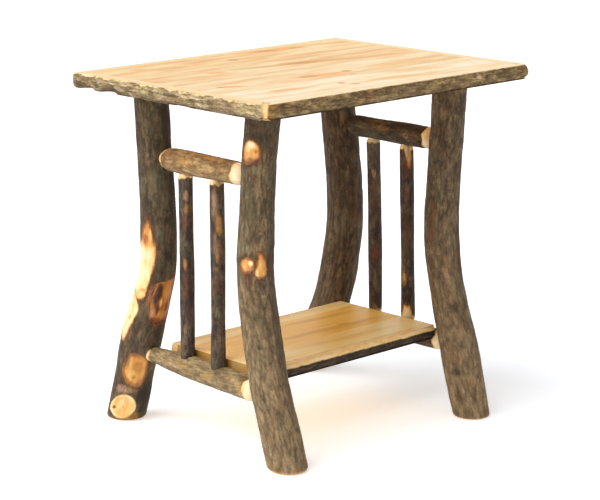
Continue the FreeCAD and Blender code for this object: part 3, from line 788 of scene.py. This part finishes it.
def strip_section(around_share, width, thickness, bulge, square):
    """Depth in from the outer line, height, and distance past the top rim, round a strip's section.

    The outer face is round where square is 0, and nearly flat where it is 1.
    """
    if around_share < TOP_ENDS:
        way = around_share / TOP_ENDS
        return width * (1 - way), thickness, -width * (1 - way)
    if around_share < OUTSIDE_ENDS:
        way = (around_share - TOP_ENDS) / (OUTSIDE_ENDS - TOP_ENDS)
        swell = bulge * (1 - abs(2 * way - 1) ** (2 + 8 * square))
        return -swell, thickness * (1 - way), thickness * way
    if around_share < UNDERSIDE_ENDS:
        way = (around_share - OUTSIDE_ENDS) / (UNDERSIDE_ENDS - OUTSIDE_ENDS)
        return width * way, 0.0, thickness + width * way
    way = (around_share - UNDERSIDE_ENDS) / (1 - UNDERSIDE_ENDS)
    return width, thickness * way, -width


# A strip's tinge is colour, place along it, distance below the top rim, half length, half height, strength
strip_tinges = {
    "top_edge_front": [
        (cream, 176, 8, 5, 5, 0.7), (pink, 186, 13, 4, 6, 0.6), (dark_mark_and_shade, 195, 10, 4, 4, 0.7),
        (russet, -92, 9, 22, 7, 0.5), (tan, 8, 12, 14, 6, 0.5), (russet, 110, 14, 16, 5, 0.4),
        (cream, -214, 8, 8, 3, 0.4), (ochre, -291, 12, 8, 12, 0.5),
    ],
    "top_edge_left": [
        (umber, -212, 18, 16, 5, 0.8), (tan, -196, 8, 22, 4, 0.6), (dark_mark_and_shade, -168, 15, 9, 5, 0.7),
        (cream, -186, 10, 5, 3, 0.6), (umber, -134, 14, 11, 6, 0.8), (cream, -116, 12, 8, 3, 0.7),
        (dark_mark_and_shade, -122, 20, 26, 3, 0.8), (moss, -96, 14, 24, 5, 0.6),
        (cream, -98, 6, 16, 3, 0.6),
        (straw, -56, 10, 12, 6, 0.7), (moss, -50, 19, 20, 4, 0.6), (straw, -14, 6, 18, 4, 0.7),
        (umber, -30, 14, 7, 6, 0.5), (umber, 12, 10, 22, 3, 0.7), (tan, 20, 16, 24, 5, 0.5),
        (cream, 62, 8, 20, 2.5, 0.6), (umber, 74, 12, 24, 2, 0.7), (cream, 92, 19, 12, 3, 0.6),
        (umber, 106, 9, 10, 5, 0.7), (tan, 140, 12, 24, 5, 0.5), (russet, 128, 19, 24, 4, 0.5),
        (straw, 190, 12, 26, 6, 0.55),
    ],
}

# Sizes of the top and the shelf. A section is a strip's width, thickness and bulge. A setting is how
# far towards the back the shelf stands.
TOP_LENGTH = 610
TOP_DEPTH = 460
TOP_UNDERSIDE = 585
TOP_SECTION = (20, 25, 4)
SHELF_LENGTH = 405
SHELF_DEPTH = 230
SHELF_SETTING = -3
SHELF_UNDERSIDE = 126
SHELF_SECTION = (14, 24, 2.5)

# The end of a strip, 1 or -1, whose outer face is nearly flat: the far left corner
square_ends = {"top_edge_back": 1, "top_edge_left": -1}

# Notches in the lower outline: place along the strip, half length, height
strip_notches = {"top_edge_left": [(-196, 15, 4.4), (-140, 18, 3.6), (-62, 10, 1.2), (40, 14, 1.0)]}

# How deep the pale facet is cut where two strips meet at the near corner
FACET = 3.4


def strip_place(name, length, depth, section, base, form, quarter_turns, mitred, pale_end):
    """The form of a bark edge strip that runs along one side of a board.

    section gives its width, thickness and bulge, base the height of its underside, and pale_end
    which end, 1 or -1, has the pale facet. form gives its seed, the raggedness of its top rim, the
    roughness of its bark, how far below the top the rim lies, the tone of the bare wood above it,
    and the radius to which the other mitred ends are rounded.
    """
    width, thickness, bulge = section
    seed, rag, roughness, rim_low, rim_tone, round_off = form
    square_end = square_ends.get(name, 0)

    def place(share_round, share_along):
        run = 2 * share_along - 1
        square = ease(0.7, 1.0, run * square_end)
        inwards, up, past_rim = strip_section(share_round, width, thickness, bulge, square)
        from_end = (1 - abs(run)) * length / 2
        along = run * length / 2
        wander = ripple(along / 23, seed, 0) + 0.6 * ripple(along / 7, seed, 4)
        rim = rim_low + rag * wander
        bare = ease(rim + 0.8, rim - 0.8, past_rim)
        faceted = run * pale_end > 0.5
        lift = 4.0 * ease(14, 1, from_end) if faceted else 0.0
        for middle, half_long, tall in strip_notches.get(name, []):
            lift = max(lift, tall * ease(1.3, 0.6, abs(along - middle) / half_long + 0.25 * wander))
        if past_rim >= thickness + 4 + 3 * lift:
            bare = 1.0
        band = 2 * FACET * (1.1 - 0.4 * max(past_rim, 0) / thickness)
        band += 1.3 * ripple(past_rim / 4, seed, run)
        end_cut = ease(band + 2.2, band - 1.8, from_end) if faceted and past_rim <= thickness else 0.0
        on_bark = 1 - bare
        layers = ripple(along / 30, up / 3.2, seed)
        flakes = ripple(along / 8, up / 3.0, seed + 9)
        furrow = max(0.0, 1 - 3.2 * abs(layers)) * 0.8 + 0.4 * max(0.0, 1 - 3 * abs(flakes))
        lump = ripple(along / 34, up / 40, seed + 3)
        sink = 0.0
        if 0 < past_rim < thickness:
            sink += on_bark * (roughness * furrow + max(0.9 * (lump + 0.5), 0.15)) + bare
            worn = (1 - ease(0.0, 4.0, past_rim)) * 1.2 + (1 - ease(0.0, 6.0, thickness - past_rim)) * 2.0
            sink += worn * (1 - 0.7 * square)
        if faceted:
            sink = sink * (1 - end_cut) + max(0.0, FACET - from_end / 2)
        elif mitred and from_end < round_off:
            sink += round_off - sqrt(round_off ** 2 - (round_off - from_end) ** 2)
        inwards = min(inwards + sink, width) if inwards < width * 0.6 else inwards
        fades_out = thickness * 0.4 if past_rim <= thickness else thickness + 18
        up += lift * ease(fades_out, thickness, past_rim)
        drop = 0.0
        if past_rim <= 0 and past_rim < rim + 3:
            drop = on_bark * (0.5 + 0.5 * furrow)
        x = run * (length / 2 - (inwards if mitred else 0))
        y = -depth / 2 + inwards
        for _ in range(quarter_turns):
            x, y = -y, x
        point = (x, y + MIDDLE_Y, base + up - drop)
        tone = rim_tone + 0.16 * (1 - ease(-3.0, 1.5, rim - past_rim)) * (1 - end_cut)
        tone += end_cut * (0.12 + 0.5 * ease(band - 3.6, band + 1.0, from_end))
        # Painted shade in the furrows, and down the outer face towards the underside
        under = 0.75 * ease(thickness * 0.5, thickness * 1.05, past_rim + 3 * lump)
        hollow_shade = min(1.0, max(furrow * 0.8, under)) * on_bark * (1 - end_cut)
        straight = (inwards * 1.3, up * 1.3 + 100 * seed, along)
        tinge = (0.0, 0.0, 0.0, 0.0)
        for shade, middle, down, half_long, half_down, most in strip_tinges.get(name, []):
            reach = hypot((along - middle) / half_long, (past_rim - down) / half_down)
            share = most * ease(1.4, 0.4, reach + 0.5 * flakes + 0.3 * layers) * (1 - end_cut)
            if share > tinge[3]:
                tinge = (*tint(*shade)[:3], share)
        return point, straight, (max(bare, end_cut), tone, 0.0, hollow_shade), tinge

    return place


# Bark colours: a furrow's bottom, laid in as painted shade, dark, middle and a lit ridge, then seed and
# how much paler it is towards the floor, partly as painted light
bark_shades = {
    "leg_back_left": ((38, 30, 21), (61, 48, 33), (84, 68, 47), (114, 97, 70), 1, 0.04),
    "leg_front_left": ((52, 40, 26), (81, 65, 43), (109, 88, 60), (144, 120, 87), 2, 0.38),
    "leg_back_right": ((37, 27, 18), (58, 44, 30), (81, 64, 43), (114, 92, 65), 3, 0.20),
    "leg_front_right": ((43, 32, 22), (68, 53, 36), (94, 75, 52), (132, 110, 79), 4, 0.42),
    "upper_rail_left": ((92, 62, 34), (132, 98, 58), (172, 136, 88), (204, 172, 122), 5, 0.0),
    "upper_rail_right": ((32, 24, 16), (51, 39, 26), (73, 58, 40), (105, 87, 60), 6, 0.0),
    "lower_rail_left": ((84, 66, 43), (126, 102, 67), (158, 134, 93), (192, 168, 123), 7, 0.0),
    "lower_rail_right": ((40, 29, 17), (60, 45, 25), (84, 64, 36), (118, 95, 57), 8, 0.0),
    "spindles": ((32, 25, 20), (54, 42, 34), (78, 62, 49), (112, 94, 74), 9, 0.0),
    "top_edge_left": ((80, 62, 40), (134, 108, 72), (186, 160, 114), (230, 208, 168), 10, 0.0),
    "top_edge_front": ((61, 44, 26), (114, 87, 51), (159, 127, 80), (204, 172, 115), 11, 0.0),
    # Very dark: partly the bark's own colour, partly painted shade, for edges beneath the top
    "shelf_edges": ((28, 20, 14), (44, 33, 21), (64, 49, 33), (92, 73, 51), 12, 0.0),
}
bark_of = {}
for name, (*shades, seed, lift) in bark_shades.items():
    bark_of[name] = bark_material("bark_" + name, *(tint(*shade) for shade in shades), seed, lift)
end_wood = end_material("end_wood", tint(236, 204, 156), tint(214, 170, 112), 3)
mitre_wood = end_material("mitre_wood", tint(240, 208, 160), tint(222, 180, 122), 5)

honey = (240, 186, 108)
golden = (210, 142, 44)
orange = (244, 164, 62)
brown = (184, 118, 36)
rosy = (252, 190, 128)
pale_gold = (255, 224, 156)
board_spots = {
    "top_plank_1": [
        (-59, -147, 9, 8, -20, brown, 0.55), (-47, -166, 12, 8, -15, brown, 0.4),
        (-169, -136, 44, 13, -8, orange, 0.45), (60, -170, 70, 17, -8, honey, 0.5),
        (140, -128, 80, 13, -8, honey, 0.5),
    ],
    "top_plank_2": [
        (-22, -65, 75, 17, -5, orange, 0.6), (-50, -62, 26, 11, -12, golden, 0.55),
        (34, -66, 11, 10, -25, golden, 0.75), (20, -100, 12, 10, -20, golden, 0.45),
        (-209, -50, 30, 11, -20, orange, 0.7), (-226, -43, 9, 8, -20, golden, 0.6),
        (-108, -75, 32, 15, 0, rosy, 0.6), (170, -60, 90, 15, -6, honey, 0.6),
    ],
    "top_plank_3": [
        (103, 43, 190, 15, -10.7, golden, 0.45), (47, 56, 52, 15, -15, golden, 0.75),
        (210, 26, 90, 15, -9, orange, 0.4), (-132, 71, 26, 13, -8, orange, 0.55),
        (-259, 80, 24, 11, -30, rosy, 0.5), (-60, 74, 70, 10, -10, brown, 0.25),
    ],
    "top_plank_4": [
        (112, 200, 90, 15, -9, orange, 0.7), (101, 203, 34, 11, -20, golden, 0.65),
        (170, 192, 22, 11, -12, golden, 0.5), (-11, 164, 14, 10, -15, brown, 0.5),
        (194, 113, 16, 10, -10, brown, 0.25), (-102, 156, 30, 10, -30, rosy, 0.5),
        (-174, 149, 18, 11, -30, brown, 0.22), (-200, 189, 18, 11, -30, orange, 0.5),
    ],
    "shelf_plank_1": [(40, -60, 160, 12, -3, golden, 0.15)],
    "shelf_plank_2": [(60, 0, 160, 12, -4, golden, 0.35), (104, 8, 20, 4, -8, golden, 0.6)],
    "shelf_plank_3": [(100, 60, 120, 10, -4, golden, 0.3), (0, 94, 420, 14, 0, pale_gold, 0.6)],
}

# Seed of each plank, with its pale, warm and streak colours. The top's planks pale towards the front,
# partly as a painted sheen. The front shelf plank is paler as painted light, and the other two are
# darker as painted shade beneath the top.
plank_shades = {
    "top_plank_1": (1, (252, 233, 196), (249, 222, 174), (238, 194, 130)),
    "top_plank_2": (2, (250, 224, 176), (245, 209, 152), (234, 182, 112)),
    "top_plank_3": (3, (249, 219, 164), (244, 202, 140), (230, 174, 102)),
    "top_plank_4": (4, (249, 214, 154), (243, 198, 130), (230, 170, 96)),
    "shelf_plank_1": (21, (255, 227, 158), (255, 216, 138), (251, 202, 114)),
    "shelf_plank_2": (22, (253, 202, 104), (253, 198, 98), (246, 184, 80)),
    "shelf_plank_3": (23, (253, 202, 104), (253, 198, 98), (246, 184, 80)),
}


def dress(name, material):
    """Gives a node of the frame its one material."""
    nodes[name].data.materials.clear()
    nodes[name].data.materials.append(material)


for name, (seed, *shades) in plank_shades.items():
    end_x = SHELF_LENGTH / 2 * MM if name.startswith("shelf") else 0.0
    board = board_material(name.replace("plank", "board"), shades, board_spots[name], seed, end_x=end_x)
    dress(name, board)

hidden_shades = ((232, 200, 150), (220, 184, 130), (200, 160, 104))
hidden_wood = board_material("hidden_board", hidden_shades, [], 31, along_y=True)
for name in ("top_cleat_left", "top_cleat_right", "shelf_batten_left", "shelf_batten_right"):
    dress(name, hidden_wood)

dowel_shades = ((226, 190, 140), (214, 176, 122), (196, 156, 100))
dress("shelf_dowels", board_material("dowel_wood", dowel_shades, [], 37))

steel, steel_tree, steel_shader = new_material("screw_steel")
object_place = add(steel_tree, "ShaderNodeTexCoord").outputs["Object"]
steel_tone = cloud(steel_tree, object_place, 900)
steel_colour = ramp(steel_tree, steel_tone, [(0.3, grey(0.42)), (0.7, grey(0.58))])
fill(steel_tree, steel_shader, {"Base Color": steel_colour, "Metallic": 1.0, "Roughness": 0.35})
for name in ("cleat_screws", "shelf_screws"):
    dress(name, steel)

# Build the poles, with so many points round them and along them
LEG_POINTS = (128, 316)
RAIL_POINTS = (80, 150)
SPINDLE_POINTS = (56, 190)
for name in leg_forms:
    piece = skin(name, *LEG_POINTS, leg_place(name), [bark_of[name], end_wood])
    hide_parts(name)
    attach(piece, "root")

for name, (side, girth, front_height, back_height, form, tapers, peels) in rail_forms.items():
    front, back = rail_line(name)
    reaches = (leg_thick("leg_front_" + side, front_height), leg_thick("leg_back_" + side, back_height))
    place = stick_place(
        name, front, back, girth / 2, (RAIL_TENON_RADIUS, *reaches), tapers, peels, 0.06, form)
    piece = skin(name, *RAIL_POINTS, place, [bark_of[name], end_wood])
    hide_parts(name)
    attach(piece, "root")

for name, (side, y, lean, foot_taper, seed) in spindle_forms.items():
    x = -SIDE_X if side == "left" else SIDE_X
    foot_y = MIDDLE_Y + y - lean / 2
    head_y = MIDDLE_Y + y + lean / 2
    foot = (x, foot_y, rail_height("lower_rail_" + side, foot_y))
    head = (x, head_y, rail_height("upper_rail_" + side, head_y))
    foot_reach = 19.0 if foot_taper else 0.0
    foot_peel = 9.0 if foot_taper else -9.0
    tenons = (SPINDLE_TENON_RADIUS, foot_reach, 18.5)
    place = stick_place(
        name, foot, head, SPINDLE_RADIUS, tenons, (foot_taper, 10.0), (foot_peel, 6.0), 0.08,
        (seed, 5.0, 40.0, 0.35))
    piece = skin(name, *SPINDLE_POINTS, place, [bark_of["spindles"], end_wood])
    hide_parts(name)
    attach(piece, "root")

# Build the bark edges: length, depth, points along, quarter turns, form, bark, end with the facet
STRIP_POINTS_ROUND = 64
SHELF_FORM = (1.2, 0.5, 9, 0.25, 0)
strips = {
    "top_edge_front": (TOP_LENGTH, TOP_DEPTH, 321, 0, (51, 1, 0.7, 1.4, 0.08, 7), "top_edge_front", -1),
    "top_edge_right": (TOP_DEPTH, TOP_LENGTH, 242, 1, (52, 1.2, 0.7, 1.2, 0.16, 7), "top_edge_front", 0),
    "top_edge_back": (TOP_LENGTH, TOP_DEPTH, 321, 2, (53, 1.2, 0.7, 1.2, 0.2, 2), "top_edge_front", 0),
    "top_edge_left": (TOP_DEPTH, TOP_LENGTH, 242, 3, (54, 3.4, 1.3, 2, 0.16, 2), "top_edge_left", 1),
    "shelf_edge_front": (
        SHELF_LENGTH, SHELF_DEPTH - 2 * SHELF_SETTING, 200, 0, (61, *SHELF_FORM), "shelf_edges", 0),
    "shelf_edge_back": (
        SHELF_LENGTH, SHELF_DEPTH + 2 * SHELF_SETTING, 200, 2, (62, *SHELF_FORM), "shelf_edges", 0),
}
for name, (length, depth, along, turns, form, bark, pale_end) in strips.items():
    is_top = name.startswith("top")
    section, base = (TOP_SECTION, TOP_UNDERSIDE) if is_top else (SHELF_SECTION, SHELF_UNDERSIDE)
    place = strip_place(name, length, depth, section, base, form, turns, is_top, pale_end)
    piece = skin(name, STRIP_POINTS_ROUND, along, place, [bark_of[bark], mitre_wood])
    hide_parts(name)
    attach(piece, "root")

# Floor, camera and light
floor_mesh = bpy.data.meshes.new("floor")
floor_work = bmesh.new()
bmesh.ops.create_grid(floor_work, x_segments=1, y_segments=1, size=20.0)
floor_work.to_mesh(floor_mesh)
floor_work.free()
floor = placed("floor", floor_mesh)
floor.location = (0, 0, -0.0002)
floor_material, floor_tree, floor_shader = new_material("floor_paper")
floor_glow = plus(floor_tree, times(floor_tree, direct_rays(floor_tree), 0.06), 0.38)
fill(floor_tree, floor_shader, {
    "Base Color": tint(244, 248, 255), "Roughness": 1.0, "Specular IOR Level": 0.0,
    "Emission Color": WHITE, "Emission Strength": floor_glow})
floor_mesh.materials.append(floor_material)

camera_data = bpy.data.cameras.new("camera")
camera_data.lens = 132.48
camera_data.sensor_width = 36
camera_data.clip_start = 0.1
camera_data.clip_end = 100
camera = placed("camera", camera_data)
camera.location = (-2.556, -2.63812, 1.161)
camera.rotation_euler = (radians(76.74), 0, radians(-44.11))
scene.camera = camera

world = bpy.data.worlds.new("studio")
world.use_nodes = True
scene.world = world
sky = world.node_tree
sky.nodes.clear()
seen = add(sky, "ShaderNodeBackground", {"Color": WHITE, "Strength": 1.0})
soft = add(sky, "ShaderNodeBackground", {"Color": WHITE, "Strength": 0.36})
choice = add(sky, "ShaderNodeMixShader", {0: direct_rays(sky), 1: soft.outputs[0], 2: seen.outputs[0]})
add(sky, "ShaderNodeOutputWorld", {0: choice.outputs[0]})

SUN_BEARING = radians(168)
SUN_HEIGHT = radians(48)
sun_data = bpy.data.lights.new("key", "SUN")
sun_data.energy = 2.72
sun_data.angle = radians(62)
sun = placed("key", sun_data)
towards = Vector((cos(SUN_BEARING), sin(SUN_BEARING), 0)) * cos(SUN_HEIGHT)
towards.z = sin(SUN_HEIGHT)
sun.rotation_mode = "QUATERNION"
sun.rotation_quaternion = towards.to_track_quat("Z", "Y")

scene.view_settings.view_transform = "Standard"
